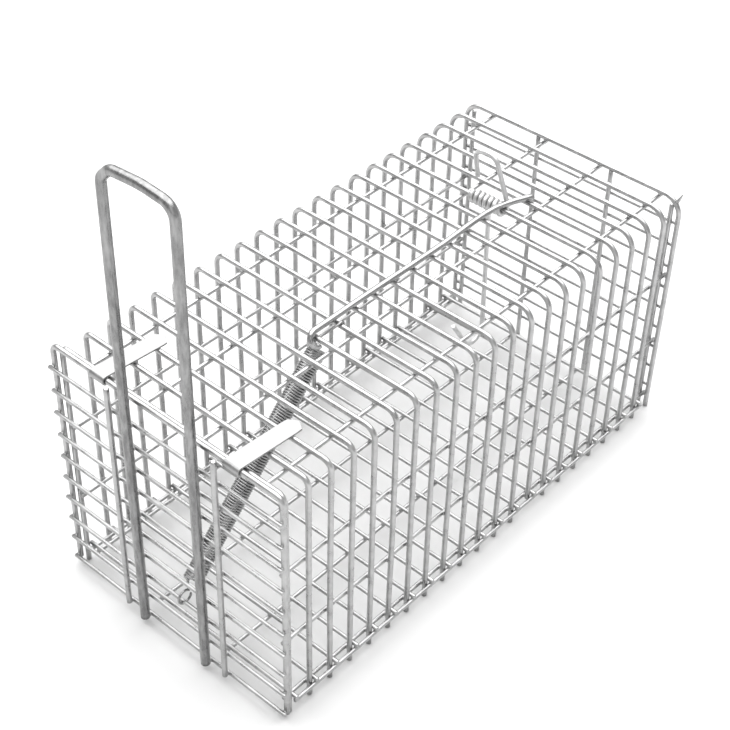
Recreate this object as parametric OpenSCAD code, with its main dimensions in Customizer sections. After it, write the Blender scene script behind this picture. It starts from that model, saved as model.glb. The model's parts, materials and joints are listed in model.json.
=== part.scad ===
// Live catch trap: wire cage, hinged gravity door, set lever, trigger and spring.
// Millimetres. X across, Y along the cage (door at -Y), Z up, feet at Z = 0.

/* [Cage] */
// Number of hoops along the cage
hoop_count = 22; // [10:1:30]
// Distance between hoop wires
pitch = 12.7; // [10:0.1:20]
// Cage width between leg centre lines
leg_span = 128.8; // [90:0.1:180]
// Height of the roof wire centre line
roof_z = 128.6; // [90:0.1:180]
// Corner radius of the first hoop, centre line
corner_front = 4; // [4:0.5:12]
// Corner radius of the last hoop, centre line
corner_rear = 9; // [4:0.5:14]
// Hoop wire diameter
hoop_d = 2.5; // [2:0.1:4]
// Diameter of the long and cross wires
thin_d = 2.0; // [1.5:0.1:3]
// Depth each resistance weld sinks one wire into the next
weld_sink = 0.05; // [0.02:0.01:0.2]
// Roof long wires, X positions
roof_x = [-47.7, -14.8, 17.7, 52.8];
// Side long wires, heights
side_z = [84, 43, 7.6];
// Side wire names
side_names = ["upper", "middle", "bottom"];
// Floor rails, X positions inside the cage
floor_x = [-58.7, -16.2, 26.3];
// Rear upright wires, X positions
rear_x = [-59.9, -19.3, 24.5, 59.9];
// Rear upright wire diameter
rear_d = 2.4; // [2:0.1:4]
// Number of rear cross bars
rear_count = 9; // [6:1:10]
// Height of the lowest rear cross bar
rear_low_z = 12.2; // [8:0.1:20]
// Which hoop has a short right leg
short_hoop = 13; // [0:1:21]
// Height of the short leg's cut end
short_leg_z = 6.4; // [0:0.1:20]

/* [Door] */
// Door frame wire diameter
frame_d = 2.6; // [2:0.1:4]
// Door frame corner radius, centre line
door_corner = 4; // [4:0.5:12]
// Door frame width between leg centre lines
frame_span = 132.4; // [100:0.1:180]
// Height of the hinge line
hinge_z = 130.4; // [120:0.1:140]
// Gap between the first hoop and the door frame
door_gap = 0.4; // [0.2:0.1:2]
// Door bar diameter
bar_d = 1.9; // [1.5:0.1:3]
// Door bar length
bar_len = 135.4; // [100:0.1:180]
// Number of door bars
bar_count = 10; // [6:1:14]
// Height of the top door bar
bar_top_z = 118.8; // [100:0.1:125]
// Door upright diameter
upright_d = 2.6; // [2:0.1:4]
// Door uprights, X positions
upright_x = [-27.8, 33.4];
// Lowest height of the uprights and the handle
upright_low_z = 3.9; // [1:0.1:10]
// Height of the uprights' cut tops
upright_top_z = 132; // [128:0.1:134]

/* [Handle] */
// Handle rod diameter
handle_d = 4.4; // [3:0.1:6]
// Handle leg positions, left and right
handle_x = [-16.2, 22.3];
// Height of the handle crossbar centre line at its crown
handle_z = 245.6; // [200:0.1:260]
// Handle corner radius
handle_r = 9; // [6:0.5:15]

/* [Straps] */
// Strap sheet thickness
strap_t = 0.9; // [0.6:0.1:2]
// Strap width
strap_w = 8.5; // [6:0.1:15]
// Strap centre positions
strap_x = [-36.7, 40.2];
// Strap length behind the hinge line
strap_len = 35.8; // [20:0.1:37]

/* [Lever] */
// Lever rod diameter
lever_d = 3; // [2:0.1:4]
// Hoop that carries the lever
lever_hoop = 6; // [3:1:10]
// Lever position across the roof
lever_x = 7.0; // [0:0.1:20]
// Length of the straight part of the lever
lever_straight = 99; // [60:1:110]
// Length of each of the two swept runs at the tip
sweep_len = 22; // [10:1:30]
// Sideways angle of the tip
sweep_a = 20; // [5:1:30]

/* [Trigger] */
// Trigger wire diameter
trigger_d = 2.3; // [2:0.1:3]
// Hoop that carries the trigger
trigger_hoop = 16; // [12:1:19]
// Number of coil turns on the hoop
trigger_turns = 8; // [4:1:10]
// Distance between turns
turn_pitch = 2.25; // [2:0.05:2.6]
// Position of the last turn
coil_end_x = 5.2; // [0:0.1:10]
// Catch arch radius
arch_r = 6.3; // [4:0.1:10]
// Lean of the catch leg from upright
catch_lean = 12; // [5:1:20]
// Height of the catch arch centre
arch_z = 147.2; // [140:0.1:155]
// Height of the catch's free end
catch_low_z = 138; // [134:0.1:145]
// Bait hook position across the cage
bait_x = -2.0; // [-6:0.1:4]
// Bait hook bend radius
bait_r = 7; // [5:0.1:20]
// Lean of the bait hook shank
bait_lean = 2.1; // [0:0.1:10]
// Length of the bait hook shank
bait_len = 77; // [40:1:90]
// Length of the bait hook tip
bait_tip = 20; // [4:1:30]
// Lean of the bait hook tip from upright
tip_lean = 31; // [0:1:45]

/* [Spring] */
// Spring wire diameter
spring_wire = 1.0; // [0.6:0.1:1.6]
// Spring outside diameter
spring_d = 9.2; // [6:0.1:12]
// Hoop that carries the spring
spring_hoop = 7; // [5:1:9]
// Door bar the spring pulls on, counted from the top
spring_bar = 7; // [4:1:8]
// Upper hook position across the cage
hook_x = 11; // [6:0.1:16]
// Upper end of the coil: across, behind the hoop, below the roof wire
coil_top = [7, -12.55, -11.2];
// Lower end of the spring line across the door
coil_low_x = 6; // [-5:0.1:8]
// Straight hook length between the coil and the door bar
low_hook_len = 8; // [4:0.5:12]
// Gap left between the lower hook and the door bar
hook_gap = 0.4; // [0.2:0.1:1]

/* [Hidden] */
$fn = 48;
fit = 0.1;
sink = 0.2;
// Clearance of the outer rear uprights under the last hoop's bends
corner_gap = 3.7;
// Swelling of a wire where it is kinked or leaves a bend
swell = 0.1;
hoop_r = hoop_d / 2;
thin_r = thin_d / 2;
frame_r = frame_d / 2;
bar_r = bar_d / 2;
upright_r = upright_d / 2;
handle_rod_r = handle_d / 2;
lever_r = lever_d / 2;
trigger_r = trigger_d / 2;
wire_r = spring_wire / 2;
half_run = (hoop_count - 1) * pitch / 2;
// Distances forward of hoop 0 to the door's layers
frame_out = hoop_r + door_gap + frame_r;
bar_out = frame_out + frame_r + bar_r - weld_sink;
upright_out = bar_out + bar_r + upright_r - weld_sink;
handle_out = bar_out + bar_r + handle_rod_r - weld_sink;
rear_r = rear_d / 2;
rear_bar_out = hoop_r + thin_r - weld_sink;
rear_out = rear_bar_out - thin_r - rear_r + weld_sink;
// The origin sits mid-way between the handle's face and the rear wires
front_reach = half_run + handle_out + handle_rod_r;
rear_reach = half_run + rear_bar_out + thin_r;
mid_y = (front_reach - rear_reach) / 2;
function hoop_y(i) = mid_y - half_run + i * pitch;
// Corner radii grow along the cage in steps of half a millimetre
function corner_r(i) = corner_front
    + round(2 * (corner_rear - corner_front) * i / (hoop_count - 1)) / 2;
frame_y = hoop_y(0) - frame_out;
bar_y = hoop_y(0) - bar_out;
upright_y = hoop_y(0) - upright_out;
handle_y = hoop_y(0) - handle_out;
rear_y = hoop_y(hoop_count - 1) + rear_out;
rear_bar_y = hoop_y(hoop_count - 1) + rear_bar_out;
leg_x = leg_span / 2;
roof_wire_z = roof_z - hoop_r - thin_r + weld_sink;
side_wire_x = leg_x - hoop_r - thin_r + weld_sink;
cross_z = side_z[2] + thin_d - weld_sink;
outer_rail_x = leg_x + hoop_r + thin_r - weld_sink;
cross_end_x = outer_rail_x + thin_r;
cross_shift = hoop_r + thin_r - weld_sink;
lever_loop_r = hoop_r + fit + lever_r;
turn_r = hoop_r + fit + trigger_r;
spring_r = spring_d / 2;
hook_r = hoop_r + fit + wire_r;
anchor = [hook_x, hoop_y(spring_hoop), roof_z];
coil_p = [coil_top[0], anchor[1] + coil_top[1], roof_z + coil_top[2]];
low_p = [coil_low_x, bar_y, bar_top_z - spring_bar * pitch];
pull = low_p - coil_p;
pull_len = norm(pull);
pull_tilt = acos(pull[2] / pull_len);
pull_turn = atan2(pull[1], pull[0]);
coil_len = pull_len - low_hook_len - bar_r - hook_gap - fit;

steel = [0.80, 0.81, 0.82];
bright = [0.88, 0.88, 0.88];
dark = [0.55, 0.56, 0.57];

function two(i) = i < 9 ? str("0", i + 1) : str(i + 1);
HOOPS = [for (i = [0 : hoop_count - 1]) str("hoop_", two(i))];
ROOF = [for (i = [0 : 3]) str("roof_wire_", i + 1)];
SIDES = [for (s = ["left", "right"], n = side_names) str("side_wire_", s, "_", n)];
RAILS = [for (i = [0 : 3]) str("floor_rail_", i + 1)];
REARS = [for (i = [0 : 3]) str("rear_upright_", i + 1)];

// A round bar along X, centred on its position
module bar_x(p, r, len)
    translate(p) rotate([0, 90, 0]) cylinder(r = r, h = len, center = true);

// A round bar along Y from its start
module bar_y(p, r, len)
    translate(p) rotate([-90, 0, 0]) cylinder(r = r, h = len);

// A round bar along Z from its foot
module bar_z(p, r, len)
    translate(p) cylinder(r = r, h = len);

// Part of a ring lying in the XY plane
module arc(r, big_r, a)
    rotate_extrude(angle = a) translate([big_r, 0]) circle(r = r);

// Cage hoop: two legs, two corners and the roof run
module hoop(i) {
    low = i == short_hoop ? short_leg_z : 0;
    y = hoop_y(i);
    r = corner_r(i);
    color(steel) union() {
        bar_z([-leg_x, y, 0], hoop_r, roof_z - r);
        bar_z([leg_x, y, low], hoop_r, roof_z - r - low);
        bar_x([0, y, roof_z], hoop_r, leg_span - 2 * r);
        translate([leg_x - r, y, roof_z - r])
            rotate([90, 0, 0]) arc(hoop_r, r, 90);
        translate([r - leg_x, y, roof_z - r])
            rotate([90, 0, 0]) rotate([0, 0, 90]) arc(hoop_r, r, 90);
    }
}

// Long wire under the roof
module roof_wire(i)
    color(steel) bar_y([roof_x[i], hoop_y(0) - hoop_r, roof_wire_z],
        thin_r, 2 * half_run + 2 * hoop_r);

// Long wire inside a side wall
module side_wire(side, level)
    color(steel) bar_y([side * side_wire_x, hoop_y(0) - hoop_r,
        side_z[level]], thin_r, 2 * half_run + 2 * hoop_r);

// Long wire under the floor
module floor_rail(i) {
    x = i < 3 ? floor_x[i] : outer_rail_x;
    color(steel) bar_y([x, hoop_y(0) + hoop_r, side_z[2]],
        thin_r, 2 * half_run - pitch + hoop_d);
}

// Cross wires of the floor, one behind every hoop but the last
module floor_cross_wires()
    for (i = [0 : hoop_count - 2])
        color(steel) translate([-leg_x, hoop_y(i) + cross_shift, cross_z])
            rotate([0, 90, 0]) cylinder(r = thin_r, h = leg_x + cross_end_x);

// Upright wire of the rear panel
module rear_upright(i)
    color(steel) bar_z([rear_x[i], rear_y, 0], rear_r,
        roof_z - (i % 3 == 0 ? corner_gap : hoop_r - weld_sink));

// Cross bars of the rear panel
module rear_bars()
    for (k = [0 : rear_count - 1])
        color(steel) bar_x([0, rear_bar_y, rear_low_z + k * pitch],
            thin_r, leg_span);

// Door frame: inverted U whose top run is the hinge pin
module door_frame() {
    half = frame_span / 2;
    r = door_corner;
    color(steel) union() {
        bar_z([-half, frame_y, upright_low_z - bar_r], frame_r,
            hinge_z - r - upright_low_z + bar_r);
        bar_z([half, frame_y, upright_low_z - bar_r], frame_r,
            hinge_z - r - upright_low_z + bar_r);
        bar_x([0, frame_y, hinge_z], frame_r, frame_span - 2 * r);
        translate([half - r, frame_y, hinge_z - r])
            rotate([90, 0, 0]) arc(frame_r, r, 90);
        translate([r - half, frame_y, hinge_z - r])
            rotate([90, 0, 0]) rotate([0, 0, 90]) arc(frame_r, r, 90);
    }
}

// Cross bars of the door
module door_bars()
    for (k = [0 : bar_count - 1])
        color(steel) bar_x([0, bar_y, bar_top_z - k * pitch], bar_r, bar_len);

// Upright rod on the door
module door_upright(x)
    color(steel) bar_z([x, upright_y, upright_low_z], upright_r,
        upright_top_z - upright_low_z);

// Handle: two legs welded down the door, corners and a crossbar
module handle() {
    half = (handle_x[1] - handle_x[0]) / 2;
    mid = (handle_x[1] + handle_x[0]) / 2;
    leg_top = handle_z - handle_r;
    color(dark) translate([mid, handle_y, 0]) union() {
        for (s = [-1, 1]) {
            bar_z([s * half, 0, upright_low_z], handle_rod_r,
                leg_top - upright_low_z);
        }
        translate([half - handle_r, 0, leg_top])
            rotate([90, 0, 0]) arc(handle_rod_r, handle_r, 90);
        translate([handle_r - half, 0, leg_top])
            rotate([90, 0, 0]) rotate([0, 0, 90])
                arc(handle_rod_r, handle_r, 90);
        bar_x([0, 0, handle_z], handle_rod_r, 2 * (half - handle_r));
    }
}

// Flat strap rising from the roof to the hinge wire and curled round it
module hinge_strap(x) {
    eye_r = frame_r + fit;
    contact_y = 2 * pitch + frame_out;
    contact_z = roof_z + hoop_r - weld_sink - hinge_z;
    tip_z = eye_r - (eye_r - contact_z) / contact_y * strap_len;
    tip_r = strap_w / 2 - 1;
    color(bright) translate([x, frame_y, hinge_z]) union() {
        intersection() {
            translate([-strap_w / 2, 0, 0]) rotate([90, 0, 90])
                linear_extrude(height = strap_w) union() {
                    difference() {
                        circle(r = eye_r + strap_t);
                        circle(r = eye_r);
                        polygon([[0, 0], [0, 8], [8, 8], [8, -8], [0.5, -8]]);
                    }
                    polygon([[-sink, eye_r], [strap_len, tip_z],
                        [strap_len, tip_z + strap_t],
                        [-sink, eye_r + strap_t]]);
                }
            union() {
                translate([-strap_w / 2, -5, -5])
                    cube([strap_w, strap_len + 5 - tip_r, 10]);
                translate([strap_w / 2 - tip_r, strap_len - tip_r, -5])
                    cylinder(r = tip_r, h = 10);
                translate([tip_r - strap_w / 2, strap_len - tip_r, -5])
                    cylinder(r = tip_r, h = 10);
                translate([tip_r - strap_w / 2, strap_len - tip_r, -5])
                    cube([strap_w - 2 * tip_r, tip_r, 10]);
            }
        }
    }
}

// Set lever: open eye round a hoop, straight rod, swept tip
module lever() {
    y = hoop_y(lever_hoop);
    z = roof_z + lever_loop_r;
    color(bright) union() {
        translate([lever_x, y, roof_z]) rotate([90, 0, 90])
            rotate([0, 0, 90]) arc(lever_r, lever_loop_r, 200);
        bar_y([lever_x, y, z], lever_r, lever_straight);
        translate([lever_x, y + lever_straight, z]) {
            sphere(r = lever_r + swell);
            rotate([0, 0, -sweep_a / 2]) {
                bar_y([0, 0, 0], lever_r, sweep_len);
                translate([0, sweep_len, 0]) {
                    sphere(r = lever_r + swell);
                    rotate([0, 0, -sweep_a / 2])
                        bar_y([0, 0, 0], lever_r, sweep_len);
                }
            }
        }
    }
}

// Trigger: coil on a hoop, catch above it and bait hook below it
module trigger() {
    y = hoop_y(trigger_hoop);
    back_y = y + turn_r;
    arch_x = -10 + arch_r;
    leg = (arch_z - roof_z + arch_r * sin(catch_lean)) / cos(catch_lean);
    color(bright) union() {
        translate([coil_end_x, y, roof_z]) rotate([0, 90, 0])
            rotate_extrude() union() {
                for (i = [0 : trigger_turns - 1])
                    translate([turn_r, -i * turn_pitch])
                        circle(r = trigger_r);
            }
        translate([arch_x, back_y, arch_z]) rotate([90, 0, 0]) {
            rotate([0, 0, catch_lean])
                arc(trigger_r, arch_r, 180 - catch_lean);
        }
        translate([arch_x, back_y, arch_z])
            rotate([0, -catch_lean, 0])
                translate([arch_r, 0, -leg])
                    cylinder(r = trigger_r, h = leg);
        bar_z([arch_x - arch_r, back_y, catch_low_z], trigger_r,
            arch_z - catch_low_z);
        translate([arch_x, back_y, arch_z]) rotate([0, -catch_lean, 0])
            translate([arch_r, 0, 0]) sphere(r = trigger_r + swell);
        translate([arch_x - arch_r, back_y, arch_z])
            sphere(r = trigger_r + swell);
        translate([bait_x, back_y, roof_z]) rotate([bait_lean, 0, 0]) {
            translate([0, 0, -bait_len])
                cylinder(r = trigger_r, h = bait_len);
            translate([0, 0, -bait_len]) sphere(r = trigger_r + swell);
            translate([0, -bait_r, -bait_len]) {
                rotate([0, 90, 0]) rotate([0, 0, tip_lean - 90])
                    arc(trigger_r, bait_r, 180 - tip_lean);
                translate([0, -bait_r * cos(tip_lean), -bait_r * sin(tip_lean)]) {
                    sphere(r = trigger_r + swell);
                    rotate([tip_lean, 0, 0])
                        cylinder(r = trigger_r, h = bait_tip);
                }
            }
        }
    }
}

// Places a spring piece with its Z axis along the pull line
module on_pull_line()
    translate(coil_p) rotate([0, pull_tilt, pull_turn]) children();

// Close-wound body of the spring, drawn as the tube its turns fill
module spring_coil() {
    color(dark) on_pull_line() translate([0, 0, fit])
        difference() {
            cylinder(r = spring_r, h = coil_len - fit);
            translate([0, 0, -1])
                cylinder(r = spring_r - spring_wire, h = coil_len + 2);
        }
}

// Upper spring hook: open eye over a hoop and a wire down to the coil
module spring_upper_hook() {
    leg_top = anchor + [0, -hook_r, 0];
    leg_low = coil_p;
    run = leg_low - leg_top;
    len = norm(run) - 2 * fit;
    color(dark) union() {
        translate(anchor) rotate([90, 0, 90])
            arc(wire_r, hook_r, 180);
        translate(leg_top) sphere(r = wire_r);
        translate(leg_top) rotate([0, acos(run[2] / norm(run)),
            atan2(run[1], run[0])]) cylinder(r = wire_r, h = len);
    }
}

// Lower spring hook: straight wire that stops short of the door bar
module spring_lower_hook() {
    color(dark) on_pull_line() translate([0, 0, coil_len + fit])
        cylinder(r = wire_r, h = low_hook_len - 2 * fit);
}

for (i = [0 : hoop_count - 1])
    hoop(i);
for (i = [0 : 3])
    roof_wire(i);
for (i = [0 : 2])
    side_wire(-1, i);
for (i = [0 : 2])
    side_wire(1, i);
for (i = [0 : 3])
    floor_rail(i);
floor_cross_wires();
for (i = [0 : 3])
    rear_upright(i);
rear_bars();
door_frame();
door_bars();
door_upright(upright_x[0]);  // door_upright_left
door_upright(upright_x[1]);  // door_upright_right
handle();
hinge_strap(strap_x[0]);  // hinge_strap_left
hinge_strap(strap_x[1]);  // hinge_strap_right
lever();
trigger();
spring_coil();
spring_upper_hook();
spring_lower_hook();
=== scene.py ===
# %% [markdown]
# # A live catch trap in welded wire
# The real trap is a box of steel wire hoops with long wires welded inside
# them, a barred door hinged at the roof, a lever and a trigger on top and a
# spring that pulls the door shut. Every wire here is a tube swept along its
# own path, because that is how a real one is made: wire is drawn, cut, bent
# and then welded. The first cell loads the rigid frame that says where each
# wire lies and how the moving bodies turn.

# %% The frame
import json
import math
import random

import bmesh
import bpy
import numpy as np
from mathutils import Matrix, Vector


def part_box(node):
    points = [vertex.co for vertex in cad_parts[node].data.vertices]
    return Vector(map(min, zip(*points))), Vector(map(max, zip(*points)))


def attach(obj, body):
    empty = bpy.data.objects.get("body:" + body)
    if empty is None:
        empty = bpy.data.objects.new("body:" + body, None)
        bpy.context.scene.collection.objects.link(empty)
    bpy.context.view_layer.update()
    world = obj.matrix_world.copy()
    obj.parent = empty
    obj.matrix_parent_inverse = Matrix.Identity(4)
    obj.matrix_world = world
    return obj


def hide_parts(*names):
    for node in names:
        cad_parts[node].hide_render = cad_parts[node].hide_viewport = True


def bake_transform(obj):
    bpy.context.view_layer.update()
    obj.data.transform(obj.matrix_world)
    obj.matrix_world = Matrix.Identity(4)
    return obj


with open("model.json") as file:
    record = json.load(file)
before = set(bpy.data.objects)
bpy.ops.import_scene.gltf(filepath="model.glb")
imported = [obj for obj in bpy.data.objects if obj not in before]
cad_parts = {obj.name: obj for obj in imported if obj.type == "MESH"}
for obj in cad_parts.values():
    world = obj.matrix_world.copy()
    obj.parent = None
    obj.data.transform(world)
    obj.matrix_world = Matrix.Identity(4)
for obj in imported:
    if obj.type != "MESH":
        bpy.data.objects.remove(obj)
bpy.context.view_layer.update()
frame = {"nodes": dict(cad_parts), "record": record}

# %% [markdown]
# ## Measuring the frame
# Sizes are easier to read in millimetres, while Blender works in metres. Each
# wire's path comes from the box round its rigid twin, so nothing here can
# drift away from the mechanism.

# %% Millimetres and boxes
MM = 0.001


def span(node):
    """Lowest and highest corner of a frame node, in millimetres."""
    low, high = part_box(node)
    return np.array(low) / MM, np.array(high) / MM


hoop_names = sorted(n for n in frame["nodes"] if n.startswith("hoop_"))
hoop_ys = [float(sum(span(n)[i][1] for i in (0, 1)) / 2) for n in hoop_names]
pitch = hoop_ys[1] - hoop_ys[0]
hoop_low, hoop_high = span(hoop_names[0])
HOOP_R = (hoop_high[1] - hoop_low[1]) / 2
LEG_X = hoop_high[0] - HOOP_R
ROOF_Z = hoop_high[2] - HOOP_R
print(len(hoop_names), "hoops, pitch", round(pitch, 2), "leg x", round(LEG_X, 1))

# %% [markdown]
# ## Bent wire paths
# A bending jig turns wire round pins, so a path is a list of corners, each
# rounded with the pin's radius. The function samples the arc at even angles
# and leaves the straight runs to a second function that adds points along
# them, because a long wire needs points to carry its slight waviness.


# %% Rounded paths
def rounded(corners, radii, steps=7):
    """Points along a polyline whose inner corners are bent to the radii."""
    pts = [Vector(c) for c in corners]
    out = [pts[0]]
    for i in range(1, len(pts) - 1):
        r = radii[i - 1] if isinstance(radii, (list, tuple)) else radii
        a = (pts[i - 1] - pts[i]).normalized()
        b = (pts[i + 1] - pts[i]).normalized()
        half = a.angle(b) / 2
        if r <= 0 or half > math.pi / 2 - 0.01:
            out.append(pts[i])
            continue
        back = r / math.tan(half)
        centre = pts[i] + (a + b).normalized() * (r / math.sin(half))
        start, end = pts[i] + a * back - centre, pts[i] + b * back - centre
        turn = start.angle(end)
        for k in range(steps + 1):
            t = k / steps
            arm = (start * math.sin((1 - t) * turn) + end * math.sin(t * turn))
            out.append(centre + arm / math.sin(turn))
    out.append(pts[-1])
    return out


def filled(path, step):
    """The same path with extra points so no run is longer than step."""
    out = [Vector(path[0])]
    for a, b in zip(path, path[1:]):
        n = max(1, math.ceil((Vector(b) - Vector(a)).length / step))
        out += [Vector(a).lerp(Vector(b), k / n) for k in range(1, n + 1)]
    return out


# %% [markdown]
# ## Sweeping a wire
# A ring of vertices is carried along the path without twisting (each ring's
# frame is the last one, turned as little as possible). The two ends get a
# small chamfer ring, as sheared wire has, and a closing face. The radius
# wavers by a few hundredths of a millimetre, as a zinc coat does.


# %% Sweep
def tube(path, radius, sides=12, waver=0.0, rng=None, chamfer=0.25):
    """Vertices and faces of a round wire along a path, in millimetres."""
    pts = [Vector(p) for p in path]
    n = len(pts)
    tangents = []
    for i in range(n):
        tangents.append((pts[min(i + 1, n - 1)] - pts[max(i - 1, 0)]).normalized())
    side = tangents[0].orthogonal().normalized()
    rings = []
    for i in range(n):
        t = tangents[i]
        side = (side - t * side.dot(t)).normalized()
        r = radius[i] if isinstance(radius, list) else radius
        r *= 1 + (rng.uniform(-waver, waver) if rng else 0)
        rings.append((pts[i], t, side.copy(), r))
    if chamfer:
        p, t, s, r = rings[0]
        rings.insert(1, (p + t * r * chamfer, t, s, r))
        rings[0] = (p, t, s, r * (1 - chamfer))
        p, t, s, r = rings[-1]
        rings.insert(-1, (p - t * r * chamfer, t, s, r))
        rings[-1] = (p, t, s, r * (1 - chamfer))
    verts, faces = [], []
    for p, t, s, r in rings:
        u = t.cross(s)
        for k in range(sides):
            a = 2 * math.pi * k / sides
            verts.append(p + (s * math.cos(a) + u * math.sin(a)) * r)
    for i in range(len(rings) - 1):
        for k in range(sides):
            a, b = i * sides + k, i * sides + (k + 1) % sides
            faces.append((a, b, b + sides, a + sides))
    last = (len(rings) - 1) * sides
    faces.append(tuple(reversed(range(sides))))
    faces.append(tuple(range(last, last + sides)))
    return verts, faces


# %% [markdown]
# ## From points to a piece
# A piece is one mesh object. It rides on a named body and hides the frame
# nodes it stands for, so every wire moves with the mechanism.


# %% Making a piece
def build(name, parts, material):
    """One mesh object from a list of (vertices, faces) in millimetres."""
    verts, faces = [], []
    for part_verts, part_faces in parts:
        base = len(verts)
        verts += [tuple(Vector(v) * MM) for v in part_verts]
        faces += [tuple(base + i for i in f) for f in part_faces]
    mesh = bpy.data.meshes.new(name)
    mesh.from_pydata(verts, [], faces)
    mesh.validate()
    mesh.update()
    for poly in mesh.polygons:
        poly.use_smooth = len(poly.vertices) == 4
    mesh.materials.append(material)
    piece = bpy.data.objects.new(name, mesh)
    bpy.context.scene.collection.objects.link(piece)
    return piece


def mount(piece, body, slot, *nodes):
    """The piece rides on a body and stands for its frame nodes."""
    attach(piece, body)
    if nodes:
        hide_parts(*nodes)
    return piece


# %% [markdown]
# ## Colours and nodes
# Colours are written as the hex values a screen shows and turned to the
# linear values a renderer works with. One function adds a node, sets its
# inputs and links what is linked.


# %% Node helpers
def colour(hex_code):
    """Linear RGBA from an sRGB hex string."""
    out = []
    for i in (1, 3, 5):
        c = int(hex_code[i:i + 2], 16) / 255
        out.append(c / 12.92 if c <= 0.04045 else ((c + 0.055) / 1.055) ** 2.4)
    return (*out, 1.0)


def add(tree, kind, inputs=None, **settings):
    """Adds a node. An input given as a socket is linked, a value is set."""
    node = tree.nodes.new(kind)
    for key, value in settings.items():
        setattr(node, key, value)
    for key, value in (inputs or {}).items():
        if isinstance(value, bpy.types.NodeSocket):
            tree.links.new(value, node.inputs[key])
        else:
            node.inputs[key].default_value = value
    return node


def ramp(tree, factor, stops):
    """A colour ramp node from (position, hex) stops."""
    node = add(tree, "ShaderNodeValToRGB", {"Fac": factor})
    band = node.color_ramp
    while len(band.elements) < len(stops):
        band.elements.new(0.5)
    for element, (place, code) in zip(band.elements, stops):
        element.position = place
        element.color = colour(code)
    return node.outputs["Color"]


def per(size_mm):
    """Texture scale that repeats about once in this many millimetres."""
    return 1000 / size_mm


# %% [markdown]
# ## Zinc on steel
# Every wire of the cage is mild steel dipped in molten zinc. The bath leaves
# a pale coat with cloudy dull patches a few millimetres across, tiny dross
# grains of about a third of a millimetre, and a little more build-up where
# two wires cross. The eye reads it as a soft silver that is bright on top
# and grey underneath. The other finishes are the same metal worked another
# way, except that the trigger wire's paler tone is a painted highlight, so
# one function makes them all from their colours and grain sizes.


# %% Metal finishes
def metal(name, tones, rough, cloud_mm, grain_mm, bump, stretch=(1, 1, 1)):
    """A metal with cloudy colour, uneven gloss and a fine grain."""
    material = bpy.data.materials.new(name)
    material.use_nodes = True
    tree = material.node_tree
    tree.nodes.clear()
    place = add(tree, "ShaderNodeTexCoord").outputs["Object"]
    place = add(tree, "ShaderNodeMapping", {
        "Vector": place, "Scale": stretch}).outputs["Vector"]
    cloud = add(tree, "ShaderNodeTexNoise", {
        "Vector": place, "Scale": per(cloud_mm), "Detail": 4.0,
        "Roughness": 0.6}).outputs["Fac"]
    grain = add(tree, "ShaderNodeTexNoise", {
        "Vector": place, "Scale": per(grain_mm), "Detail": 3.0,
        "Roughness": 0.7}).outputs["Fac"]
    gloss = add(tree, "ShaderNodeMapRange", {
        "Value": cloud, "From Min": 0.3, "From Max": 0.7,
        "To Min": rough[0], "To Max": rough[1]}).outputs["Result"]
    relief = add(tree, "ShaderNodeBump", {
        "Height": grain, "Strength": bump,
        "Distance": 0.06 * MM}).outputs["Normal"]
    shader = add(tree, "ShaderNodeBsdfPrincipled", {
        "Base Color": ramp(tree, cloud, tones), "Metallic": 1.0,
        "Roughness": gloss, "Normal": relief})
    add(tree, "ShaderNodeOutputMaterial", {"Surface": shader.outputs["BSDF"]})
    return material


hot_dip_zinc = metal(
    "hot_dip_zinc", [(0.3, "#A0A0A0"), (0.5, "#AFAFAF"), (0.7, "#BEBEBE")],
    (0.24, 0.36), cloud_mm=6.0, grain_mm=0.35, bump=0.25)
mottled_zinc_rod = metal(
    "mottled_zinc_rod", [(0.3, "#757575"), (0.5, "#8B8B8B"), (0.7, "#A2A2A2")],
    (0.22, 0.36), cloud_mm=2.2, grain_mm=0.4, bump=0.25, stretch=(1, 1, 0.25))
bright_drawn_rod = metal(
    "bright_drawn_rod", [(0.3, "#9C9C9C"), (0.7, "#B8B8B8")],
    (0.18, 0.28), cloud_mm=2.5, grain_mm=0.3, bump=0.25, stretch=(1, 0.1, 1))
bright_zinc_sheet = metal(
    "bright_zinc_sheet", [(0.3, "#969696"), (0.7, "#A4A4A4")],
    (0.3, 0.42), cloud_mm=5.0, grain_mm=0.3, bump=0.2, stretch=(1, 0.15, 1))
drawn_spring_wire = metal(
    "drawn_spring_wire", [(0.35, "#909090"), (0.65, "#A4A4A4")],
    (0.22, 0.28), cloud_mm=4.0, grain_mm=0.3, bump=0.05)
# The trigger wire's zinc is paler than the cage's as a painted highlight: its tone
# stands in for the white reflected light on the coil's turns.
pale_zinc_painted_highlight = metal(
    "pale_zinc_painted_highlight", [(0.3, "#C2C2C2"), (0.7, "#D6D6D6")],
    (0.34, 0.46), cloud_mm=2.5, grain_mm=0.3, bump=0.15)
print("finishes:", [m.name for m in bpy.data.materials])

# %% [markdown]
# ## The cage hoops
# Each hoop is one length of 2.5 mm wire bent into an upside-down U. Hand-set
# wires are never perfectly true, so each hoop sways by a fraction of a
# millimetre between its welds, from a seeded random so it is the same each
# time. One hoop has a short leg, as the real trap does.

# %% Hoops
WIRE_SWAY = 0.18
SHORT_HOOP = "hoop_14"
SHORT_LEG_Z = 6.4
CORNER_FRONT, CORNER_REAR = 4.0, 9.0


def sway(path, seed):
    """Slow sideways waviness along a path, nothing at its two ends."""
    rng = random.Random(seed)
    phases = [rng.uniform(0, 2 * math.pi) for _ in range(6)]
    waves = [rng.uniform(0.6, 1.0) * f for f in (1, 2.3, 3.9)]
    out = []
    for i, p in enumerate(path):
        t = i / (len(path) - 1)
        fade = min(1, 8 * t, 8 * (1 - t))
        shift = Vector((0, 0, 0))
        for k, w in enumerate(waves):
            gain = WIRE_SWAY * fade / (k + 1)
            shift.x += gain * math.sin(phases[k] + w * 2 * math.pi * t)
            shift.y += gain * math.sin(phases[k + 3] + w * 2 * math.pi * t)
        out.append(Vector(p) + shift)
    return out


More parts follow.
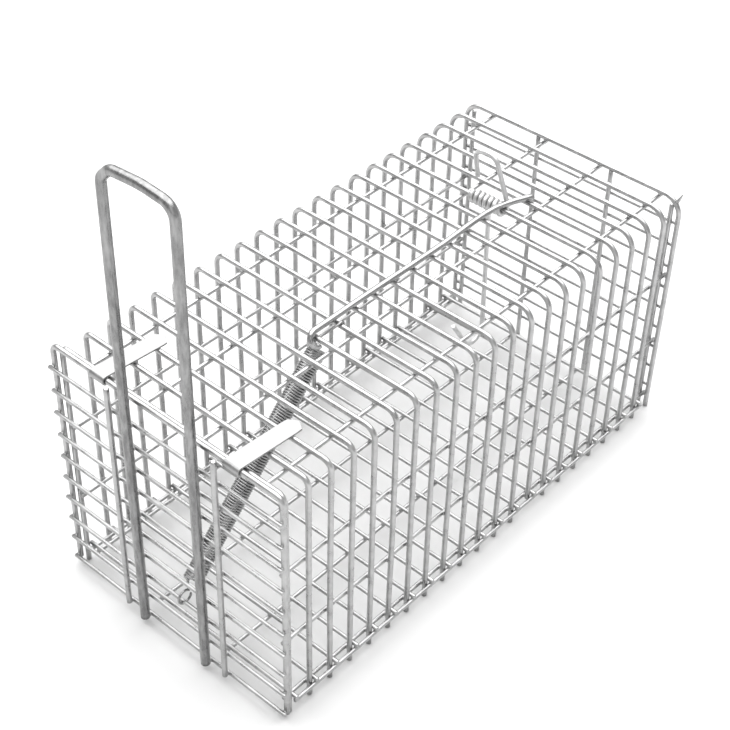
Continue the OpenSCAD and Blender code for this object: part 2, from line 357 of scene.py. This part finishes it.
def hoop_path(name, corner_r):
    """The bent path of a hoop from its frame box."""
    low, high = span(name)
    y = (low[1] + high[1]) / 2
    x, z = high[0] - HOOP_R, high[2] - HOOP_R
    right_foot = SHORT_LEG_Z if name == SHORT_HOOP else 0
    corners = [(-x, y, 0), (-x, y, z), (x, y, z), (x, y, right_foot)]
    return filled(rounded(corners, corner_r, 9), 8)


for i, name in enumerate(hoop_names):
    corner_r = (CORNER_FRONT + (CORNER_REAR - CORNER_FRONT) * i
                / (len(hoop_names) - 1))
    wire = tube(sway(hoop_path(name, corner_r), i), HOOP_R, 14, 0.012,
                random.Random(i))
    mount(build(name + "_wire", [wire], hot_dip_zinc), "cage",
          "galvanised_wire", name)
print("hoops:", len(hoop_names))

# %% [markdown]
# ## The long wires
# Straight wires run the length of the cage inside the hoops: four under the
# roof, three on each wall, four under the floor and four up the back. Each
# path is simply the long axis of the frame box. The bath also leaves a drip
# of zinc at the last hoop's corner, where the cage was hung to drain.


# %% Straight wires
def straight(node, step=9):
    """Path along the longest side of a frame node's box, and its radius."""
    low, high = span(node)
    mid, size = (low + high) / 2, high - low
    axis = int(np.argmax(size))
    start, end = mid.copy(), mid.copy()
    start[axis], end[axis] = low[axis], high[axis]
    radius = float(min(size)) / 2
    return filled([tuple(start), tuple(end)], step), radius


long_wires = [n for n in frame["nodes"]
              if n.startswith(("roof_wire", "side_wire", "floor_rail"))]
for i, name in enumerate(sorted(long_wires)):
    path, radius = straight(name)
    wire = tube(path, radius, 12, 0.015, random.Random(100 + i))
    mount(build(name + "_swept", [wire], hot_dip_zinc), "cage",
          "galvanised_wire", name)

for i in range(1, 5):
    name = f"rear_upright_{i}"
    path, radius = straight(name)
    wire = tube(path, radius, 12, 0.015, random.Random(150 + i))
    mount(build(name + "_swept", [wire], hot_dip_zinc), "cage",
          "galvanised_wire", name)

_, corner_high = span("hoop_22")
drip = [corner_high + Vector(v) for v in
        ((-3.7, -1.2, -3.4), (-2.5, -1.1, -1.4), (-1.7, -1.0, 0.6),
         (-1.2, -0.9, 2.2))]
drip_tube = tube(drip, [1.0, 0.8, 0.55, 0.25], 10)
mount(build("zinc_drip", [drip_tube], hot_dip_zinc), "cage", "galvanised_wire")
print("long wires:", len(long_wires), "and 4 rear uprights")

# %% [markdown]
# ## Ranks of cross wires
# The floor, the back and the door each have a rank of equal wires. A rank is
# one piece: the frame box gives its first and last wire and how many wires
# fit between them.


# %% Ranks
def rank(node, count, axis, seed, jitter=0.25):
    """Equal wires along X, stepped along the given axis."""
    low, high = span(node)
    other = 3 - axis
    radius = (high[other] - low[other]) / 2
    first, last = low[axis] + radius, high[axis] - radius
    rng = random.Random(seed)
    wires = []
    for k in range(count):
        p = [0.0, 0.0, 0.0]
        p[axis] = first + (last - first) * k / (count - 1)
        p[other] = (low[other] + high[other]) / 2
        a, b = list(p), list(p)
        a[0] = low[0] + rng.uniform(0, jitter)
        b[0] = high[0] - rng.uniform(0, jitter)
        wires.append(tube(filled([tuple(a), tuple(b)], 9), radius, 12, 0.015, rng))
    return wires


FLOOR_COUNT, REAR_COUNT, DOOR_COUNT = 21, 9, 10
floor_rank = rank("floor_cross_wires", FLOOR_COUNT, 1, 200)
mount(build("floor_cross_wires_swept", floor_rank, hot_dip_zinc), "cage",
      "galvanised_wire", "floor_cross_wires")
rear_rank = rank("rear_bars", REAR_COUNT, 2, 210, 0)
mount(build("rear_bars_swept", rear_rank, hot_dip_zinc), "cage",
      "galvanised_wire", "rear_bars")
door_rank = rank("door_bars", DOOR_COUNT, 2, 220, 0.6)
mount(build("door_bars_swept", door_rank, hot_dip_zinc), "door",
      "galvanised_wire", "door_bars")
print("ranks:", FLOOR_COUNT, REAR_COUNT, DOOR_COUNT)

# %% [markdown]
# ## The door frame, its uprights and the handle
# The door hangs from the top run of its own frame wire. Two thinner rods
# stiffen it, and a thick rod bent into a tall loop is welded down its front
# as the handle. The handle was bent by hand round a pin, so its crown is
# gently arched and one corner is tighter than the other.

# %% Door frame and uprights
frame_low, frame_high = span("door_frame")
FRAME_R = (frame_high[1] - frame_low[1]) / 2
hinge_y = (frame_low[1] + frame_high[1]) / 2
hinge_z = frame_high[2] - FRAME_R
door_x = frame_high[0] - FRAME_R
door_foot = frame_low[2]
corners = [(-door_x, hinge_y, door_foot), (-door_x, hinge_y, hinge_z),
           (door_x, hinge_y, hinge_z), (door_x, hinge_y, door_foot)]
DOOR_CORNER = 4.0
path = filled(rounded(corners, DOOR_CORNER, 9), 8)
mount(build("door_frame_wire", [tube(path, FRAME_R, 14, 0.012, random.Random(3))],
            hot_dip_zinc), "door", "galvanised_wire", "door_frame")

for side in ("left", "right"):
    path, r = straight("door_upright_" + side)
    rod = tube(path, r, 14, 0.015, random.Random(300), chamfer=0.35)
    piece = build(f"door_upright_{side}_rod", [rod], hot_dip_zinc)
    mount(piece, "door", "galvanised_wire", "door_upright_" + side)
print("door frame half width", round(door_x, 1), "hinge z", round(hinge_z, 1))

# %% Handle
low, high = span("handle")
HANDLE_R = (high[1] - low[1]) / 2
left, right = low[0] + HANDLE_R, high[0] - HANDLE_R
y, top = (low[1] + high[1]) / 2, high[2] - HANDLE_R
CROWN_SAG = 1.3
corners = [(left, y, low[2]), (left, y, top - 7), (left + 5.5, y, top - CROWN_SAG),
           ((left + right) / 2 + 2, y, top), (right, y, top - CROWN_SAG),
           (right, y, low[2])]
path = filled(rounded(corners, [5, 6, 40, 6.5], 8), 5)
handle_rod = tube(path, HANDLE_R, 20, 0.012, random.Random(5), chamfer=0.2)
mount(build("handle_rod", [handle_rod], mottled_zinc_rod), "door",
      "plated_rod", "handle")
print("handle top", round(float(high[2]), 1))

# %% [markdown]
# ## The hinge straps
# Two strips of zinc sheet are welded to a roof hoop and rise a little from it
# towards their tips. Their front ends are curled down round the door's top
# wire to make the hinge, and the shears have rounded their corners. A strap
# is drawn as its side profile, carried across its width, with the corner
# radius cut into the rows near the tip.

# %% Straps
STRAP_T = 0.9
STRAP_CORNER = 3.8
WELD_SINK = 0.05
SLACK = 0.1  # play of one wire wound round another
EYE_R = FRAME_R + SLACK


def strap_profile(rest_y, rest_z, tip_y):
    """Middle line of the sheet in (y, z), from under the eye to the tip."""
    mid = EYE_R + STRAP_T / 2
    line = []
    for k in range(15):
        a = math.radians(262 - k * 12.2)
        line.append((hinge_y + mid * math.cos(a), hinge_z + mid * math.sin(a)))
    top = hinge_z + mid
    fall = (top - rest_z - STRAP_T / 2) / (rest_y - hinge_y)
    for k in range(1, 14):
        along = (tip_y - hinge_y) * k / 13
        line.append((hinge_y + along, top - fall * along))
    return line


def strap(node):
    low, high = span(node)
    line = strap_profile(hoop_ys[2], ROOF_Z + HOOP_R - WELD_SINK,
                         high[1])
    x0, x1 = low[0], high[0]
    corner = STRAP_CORNER
    verts, faces, rows = [], [], []
    for i, (y, z) in enumerate(line):
        a, b = line[max(i - 1, 0)], line[min(i + 1, len(line) - 1)]
        along = Vector((0, b[0] - a[0], b[1] - a[1])).normalized()
        up = Vector((1, 0, 0)).cross(along)
        reach = high[1] - y
        inset = 0.0
        if reach < corner:
            inset = corner - math.sqrt(max(corner ** 2 - (corner - reach) ** 2, 0))
        row = []
        for side in (1, -1):
            for k in range(5):
                step = k if side == 1 else 4 - k
                x = x0 + inset + (x1 - x0 - 2 * inset) * step / 4
                row.append(Vector((x, y, z)) + up * (side * STRAP_T / 2))
        rows.append(row)
    for row in rows:
        verts += row
    n = 10
    for i in range(len(rows) - 1):
        for k in range(n):
            a, b = i * n + k, i * n + (k + 1) % n
            faces.append((a, a + n, b + n, b))
    faces.append(tuple(range(n)))
    faces.append(tuple(reversed(range((len(rows) - 1) * n, len(rows) * n))))
    piece = build(node + "_sheet", [(verts, faces)], bright_zinc_sheet)
    soften = piece.modifiers.new("sheared_edge", "BEVEL")
    soften.width = 0.15 * MM
    soften.segments = 2
    soften.limit_method = "ANGLE"
    soften.angle_limit = math.radians(50)
    soften.harden_normals = True
    return piece


for side in ("left", "right"):
    mount(strap("hinge_strap_" + side), "cage", "zinc_sheet",
          "hinge_strap_" + side)
print("straps meet the roof at z", round(ROOF_Z + HOOP_R, 2))

# %% [markdown]
# ## The set lever
# A 3 mm rod with an open eye wound round one roof wire. It lies along the
# roof and its tip is swept to one side, where the catch takes it. Its path is
# one curve: a short helix for the eye, then the rod.

# %% Lever
LEVER_R = 1.5
low, high = span("lever")
lever_x = float(low[0]) + LEVER_R + 0.4
lever_y = hoop_ys[6]
eye_r = HOOP_R + SLACK + LEVER_R
rod_z = ROOF_Z + eye_r
LOOSE_EYE_R = 3.5
path = []
for k in range(27):
    a = math.radians(290 - k * 7.7)
    path.append(Vector((lever_x + 2.6 * (1 - k / 26),
                        lever_y + LOOSE_EYE_R * math.cos(a),
                        rod_z + LOOSE_EYE_R * (math.sin(a) - 1))))
rod = [(0, 8), (-0.2, 30), (0, 60), (0.1, 84), (-0.3, 95), (-0.8, 107),
       (-0.8, 115), (-0.3, 122), (0.9, 127.5), (2.7, 133), (4.6, 137.5),
       (6.7, 142)]
path += [Vector((lever_x + x, lever_y + y, rod_z)) for x, y in rod]
lever_rod = tube(filled(path, 6), LEVER_R, 16, 0.008, random.Random(9), 0.15)
mount(build("set_lever_rod", [lever_rod], bright_drawn_rod), "lever",
      "plated_rod", "lever")
print("lever from y", round(lever_y, 1), "to", round(lever_y + rod[-1][1], 1))

# %% [markdown]
# ## The trigger
# One length of 2.4 mm wire. It is wound into a close coil round a roof wire,
# so it can rock. One end rises as a hooked catch for the lever and the other
# hangs down inside the cage as the bait hook. The coil is a true helix.

# %% Trigger
TRIGGER_R = 1.2
trigger_y = hoop_ys[16]
turn_r = HOOP_R + SLACK + TRIGGER_R
back_y = trigger_y + turn_r
COIL_X = (7.3, -9.7)
TURNS = 6.75
catch = rounded([(-9.7, back_y, 137.6), (-12.2, back_y, 151.0),
                 (-0.6, back_y, 153.6), (8.7, back_y, 130.0)], [3.6, 6.5], 8)
coil = []
steps = int(TURNS * 20)
for k in range(steps + 1):
    a = math.radians(-360 * TURNS * k / steps)
    x = COIL_X[0] + 1.1 + (COIL_X[1] - COIL_X[0] - 1.1) * k / steps
    coil.append(Vector((x, trigger_y + turn_r * math.cos(a),
                        ROOF_Z + turn_r * math.sin(a))))
catch_wire = tube(filled(catch, 3)[:-1] + coil, TRIGGER_R, 12, 0.01,
                  random.Random(21), 0.2)

BAIT_X = -2.0
lean = math.radians(2.1)


def hung(y, z):
    """A point of the bait hook, y and z measured down its leaning shank."""
    return (BAIT_X, back_y + y * math.cos(lean) - z * math.sin(lean),
            ROOF_Z + y * math.sin(lean) + z * math.cos(lean))


SHANK, BEND_R, TIP, TIP_LEAN = 77.0, 7.0, 20.0, math.radians(31)
reach = BEND_R / math.tan(TIP_LEAN / 2)
hook = rounded([hung(0, -0.5), hung(0, -SHANK - reach),
                hung(-math.sin(TIP_LEAN) * (reach + TIP),
                     -SHANK - reach + math.cos(TIP_LEAN) * (reach + TIP))],
               BEND_R, 14)
hook_wire = tube(filled(hook, 5), TRIGGER_R, 12, 0.01, random.Random(22), 0.2)
mount(build("trigger_wire", [catch_wire, hook_wire], pale_zinc_painted_highlight), "trigger",
      "plated_rod", "trigger")
print("trigger turns:", TURNS)

# %% [markdown]
# ## The closing spring
# An extension spring is wound with its turns touching. At rest it is about
# 110 mm long and over a hundred turns, so it is drawn as one long helix of
# 1 mm wire, fixed in place along the spring's axis from the roof down to the
# door bar.

# %% Spring
record_joints = {j["name"]: j for j in frame["record"]["behaviour"]["joints"]}
pull = Vector(record_joints["spring_stretch"]["axis"]).normalized()
coil_top = Vector(record_joints["spring_turn"]["pos_m"]) / MM
lower_low = span("spring_lower_hook")[0]
SPRING_WIRE = 0.5
COIL_ABOVE = 3.5
SPRING_R = 4.6 - SPRING_WIRE
TURN_SPACING = 1.22  # of the wire's thickness
HOOK_LENGTH = 9.5
LAST_TURN = 0.6
bar_y = (span("door_bars")[0][1] + span("door_bars")[1][1]) / 2
bar_z = lower_low[2] - 0.6
length = (coil_top[1] - bar_y) / -pull.y
COIL_LENGTH = length - HOOK_LENGTH
SPRING_TURNS = round((COIL_LENGTH + COIL_ABOVE)
                     / (2 * SPRING_WIRE * TURN_SPACING))
across = pull.cross(Vector((1, 0, 0))).normalized()
sideways = across.cross(pull)


def on_spring(along, angle, r=SPRING_R):
    """A point at a distance down the spring's axis, at an angle round it."""
    return (coil_top + pull * along
            + (across * math.cos(angle) + sideways * math.sin(angle)) * r)


STEP = 14
helix = [on_spring(-COIL_ABOVE + (COIL_LENGTH + COIL_ABOVE - LAST_TURN) * k
                   / (SPRING_TURNS * STEP), 2 * math.pi * k / STEP)
         for k in range(SPRING_TURNS * STEP + 1)]
spring = build("closing_spring_coil", [tube(helix, SPRING_WIRE, 8)],
               drawn_spring_wire)
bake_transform(spring)
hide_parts("spring_coil")
print("spring turns:", SPRING_TURNS, "coil length", round(COIL_LENGTH, 1))

# %% [markdown]
# The two end hooks are the last turns, opened out. The upper one hangs over
# a roof wire beside the lever's eye, and the lower one is an eye closed
# round a door bar.

# %% Spring hooks
anchor_y = hoop_ys[7]
HOOK_X, HOOK_WIRE = 11.0, 0.56
hook_r = HOOP_R + SLACK + HOOK_WIRE
over = [Vector((HOOK_X, anchor_y + hook_r * math.cos(a),
                ROOF_Z + hook_r * math.sin(a)))
        for a in (math.radians(-70 + 15 * k) for k in range(14))]
start = on_spring(-COIL_ABOVE, 0)
upper = over + [on_spring(-COIL_ABOVE - 1.2, -0.5), start]
mount(build("spring_upper_hook_wire", [tube(filled(upper, 2), HOOK_WIRE, 10)],
            drawn_spring_wire), "cage", "spring_wire", "spring_upper_hook")

low_end = on_spring(COIL_LENGTH - LAST_TURN, 2 * math.pi * SPRING_TURNS)
bar_centre = coil_top + pull * length
EYE_LOOP_R = 3.3
eye_centre = bar_centre + pull * -(EYE_LOOP_R - HOOK_WIRE - 1.0)
turn = [eye_centre - pull * (EYE_LOOP_R * math.cos(a))
        + across * (EYE_LOOP_R * math.sin(a)) + Vector((0.9 * k / 22, 0, 0))
        for k, a in ((k, math.radians(-20 + 16 * k)) for k in range(22))]
lower = [low_end, low_end.lerp(turn[0], 0.5)] + turn
mount(build("spring_lower_hook_wire", [tube(filled(lower, 2), HOOK_WIRE, 10)],
            drawn_spring_wire), "spring_low", "spring_wire", "spring_lower_hook")
print("spring reaches the bar at z", round(bar_centre.z, 1))

# %% [markdown]
# ## Weld fillets
# Each crossing is a resistance weld, and the zinc bath leaves a small
# meniscus in its corners. A fillet is a squashed ball pressed into the
# crossing, a little different each time. All the cage's fillets are one
# piece, and the door's are another, since they move apart.

# %% Fillets
BEAD_SIDES, BEAD_ROWS = 10, 6


def bead(centre, sizes, rng):
    """A squashed ball at a crossing; sizes are its half widths."""
    centre = Vector(centre)
    sizes = [s * rng.uniform(0.92, 1.1) for s in sizes]
    verts = [centre + Vector((0, 0, sizes[2]))]
    for i in range(1, BEAD_ROWS):
        a = math.pi * i / BEAD_ROWS
        for k in range(BEAD_SIDES):
            b = 2 * math.pi * k / BEAD_SIDES
            verts.append(centre + Vector((
                sizes[0] * math.sin(a) * math.cos(b),
                sizes[1] * math.sin(a) * math.sin(b), sizes[2] * math.cos(a))))
    verts.append(centre - Vector((0, 0, sizes[2])))
    faces = [(0, 1 + k, 1 + (k + 1) % BEAD_SIDES) for k in range(BEAD_SIDES)]
    for i in range(BEAD_ROWS - 2):
        for k in range(BEAD_SIDES):
            a, b = 1 + i * BEAD_SIDES + k, 1 + i * BEAD_SIDES + (k + 1) % BEAD_SIDES
            faces.append((a, a + BEAD_SIDES, b + BEAD_SIDES, b))
    last, tail = len(verts) - 1, 1 + (BEAD_ROWS - 2) * BEAD_SIDES
    faces += [(last, tail + (k + 1) % BEAD_SIDES, tail + k)
              for k in range(BEAD_SIDES)]
    return verts, faces


def centre_of(node):
    low, high = span(node)
    return (low + high) / 2


rng = random.Random(77)
cage_beads = []
roof_nodes = [n for n in long_wires if n.startswith("roof_wire")]
side_nodes = [n for n in long_wires if n.startswith("side_wire")]
for y in hoop_ys:
    for node in roof_nodes:
        x = centre_of(node)[0]
        cage_beads.append(bead((x, y, ROOF_Z - HOOP_R), (1.25, 1.25, 0.5), rng))
    for node in side_nodes:
        x, _, z = centre_of(node)
        s = 1 if x > 0 else -1
        cage_beads.append(bead((s * (LEG_X - HOOP_R), y, z),
                               (0.5, 1.25, 1.25), rng))
floor_low, floor_high = span("floor_cross_wires")
cross_z = (floor_low[2] + floor_high[2]) / 2
rails = [n for n in long_wires if n.startswith(("floor_rail", "side_wire_left_b",
                                                "side_wire_right_b"))]
for k in range(FLOOR_COUNT):
    run = floor_high[1] - floor_low[1] - 2
    y = floor_low[1] + 1 + run * k / (FLOOR_COUNT - 1)
    for node in rails:
        cage_beads.append(bead((centre_of(node)[0], y, cross_z - 1),
                               (1.1, 1.1, 0.5), rng))
rear_low, rear_high = span("rear_bars")
for k in range(REAR_COUNT):
    run = rear_high[2] - rear_low[2] - 2
    z = rear_low[2] + 1 + run * k / (REAR_COUNT - 1)
    for i in range(1, 5):
        x = centre_of(f"rear_upright_{i}")[0]
        cage_beads.append(bead((x, rear_low[1], z), (1.2, 0.5, 1.1), rng))
    for s in (-1, 1):
        cage_beads.append(bead((s * LEG_X, rear_low[1], z), (0.9, 0.6, 1.1), rng))
piece = build("cage_weld_fillets", cage_beads, hot_dip_zinc)
for poly in piece.data.polygons:
    poly.use_smooth = True
mount(piece, "cage", "galvanised_wire")

door_beads = []
bars_low, bars_high = span("door_bars")
DOOR_BAR_R = 0.95
for k in range(DOOR_COUNT):
    run = bars_high[2] - bars_low[2] - 2 * DOOR_BAR_R
    z = bars_low[2] + DOOR_BAR_R + run * k / (DOOR_COUNT - 1)
    for s in (-1, 1):
        door_beads.append(bead((s * door_x, bars_high[1], z),
                               (1.2, 0.6, 1.05), rng))
    for node in ("door_upright_left", "door_upright_right"):
        door_beads.append(bead((centre_of(node)[0], bars_low[1], z),
                               (1.2, 0.6, 1.1), rng))
    for x in (left, right):
        door_beads.append(bead((x, bars_low[1], z), (1.7, 0.7, 1.2), rng))
piece = build("door_weld_fillets", door_beads, hot_dip_zinc)
for poly in piece.data.polygons:
    poly.use_smooth = True
mount(piece, "door", "galvanised_wire")
print("fillets:", len(cage_beads), "on the cage,", len(door_beads), "on the door")

# %% [markdown]
# ## Floor and light
# The trap stands on plain white paper, wide enough that its edge never shows.
# The main light is a sun whose disc is 95 degrees wide, which lights like a
# lit ceiling: it makes the upper side of every wire white and its shadows
# very soft. The surroundings give less light than they show, so undersides
# and legs turn grey, and that is what shows a wire as round. A small fill
# light from the front keeps the door from going dark.

# %% Floor
bpy.ops.mesh.primitive_plane_add(size=30)
floor = bpy.context.object
floor.name = "studio_floor"
paper = bpy.data.materials.new("white_paper_sweep")
paper.use_nodes = True
sheet = paper.node_tree.nodes["Principled BSDF"]
sheet.inputs["Base Color"].default_value = colour("#D2D2D2")
sheet.inputs["Roughness"].default_value = 0.9
floor.data.materials.append(paper)

# %% Lights
world = bpy.data.worlds.new("studio")
world.use_nodes = True
walls = world.node_tree.nodes["Background"]
walls.inputs["Color"].default_value = colour("#FFFFFF")
seen = add(world.node_tree, "ShaderNodeLightPath").outputs["Is Camera Ray"]
dim_walls = add(world.node_tree, "ShaderNodeMapRange", {
    "Value": seen, "To Min": 0.6, "To Max": 1.0}).outputs["Result"]
world.node_tree.links.new(dim_walls, walls.inputs["Strength"])
bpy.context.scene.world = world
bpy.context.scene.view_settings.view_transform = "Standard"


def softbox(name, place, aim, width, power):
    """A square area light at a place in metres, aimed at a point."""
    light = bpy.data.lights.new(name, "AREA")
    light.size = width
    light.energy = power
    lamp = bpy.data.objects.new(name, light)
    bpy.context.scene.collection.objects.link(lamp)
    lamp.location = place
    lamp.rotation_euler = (Vector(aim) - Vector(place)).to_track_quat(
        "-Z", "Y").to_euler()
    return lamp


ceiling = bpy.data.lights.new("lit_ceiling", "SUN")
ceiling.energy = 5.2
ceiling.angle = math.radians(95)
ceiling_lamp = bpy.data.objects.new("lit_ceiling", ceiling)
bpy.context.scene.collection.objects.link(ceiling_lamp)
ceiling_lamp.rotation_euler = Vector((0.23, -0.23, -1)).to_track_quat(
    "-Z", "Y").to_euler()
softbox("front_fill", (1.2, -1.3, 1.0), (0, 0, 0.08), 0.9, 1.5)

# %% [markdown]
# ## Camera
# The trap is seen from its front right corner and well above it. The camera
# is set by the way it looks: azimuth, elevation, distance to the point it
# aims at and a slight roll.

# %% Camera
AZIMUTH, ELEVATION, ROLL = (math.radians(a) for a in (40.87, 40.52, 1.54))
DISTANCE = 0.78332
AIM = Vector((-0.02488, 0.01682, 0.05))
LENS = 79.65

away = Vector((math.sin(AZIMUTH) * math.cos(ELEVATION),
               -math.cos(AZIMUTH) * math.cos(ELEVATION), math.sin(ELEVATION)))
level = (-away).cross(Vector((0, 0, 1))).normalized()
upward = level.cross(-away)
right_axis = level * math.cos(ROLL) + upward * math.sin(ROLL)
up_axis = upward * math.cos(ROLL) - level * math.sin(ROLL)
camera_data = bpy.data.cameras.new("studio_camera")
camera_data.lens = LENS
camera_data.sensor_width = 36
camera = bpy.data.objects.new("studio_camera", camera_data)
bpy.context.scene.collection.objects.link(camera)
turn_to = Matrix((right_axis, up_axis, away)).transposed().to_4x4()
camera.matrix_world = Matrix.Translation(AIM + away * DISTANCE) @ turn_to
bpy.context.scene.camera = camera
print("camera at", [round(v, 3) for v in camera.location])
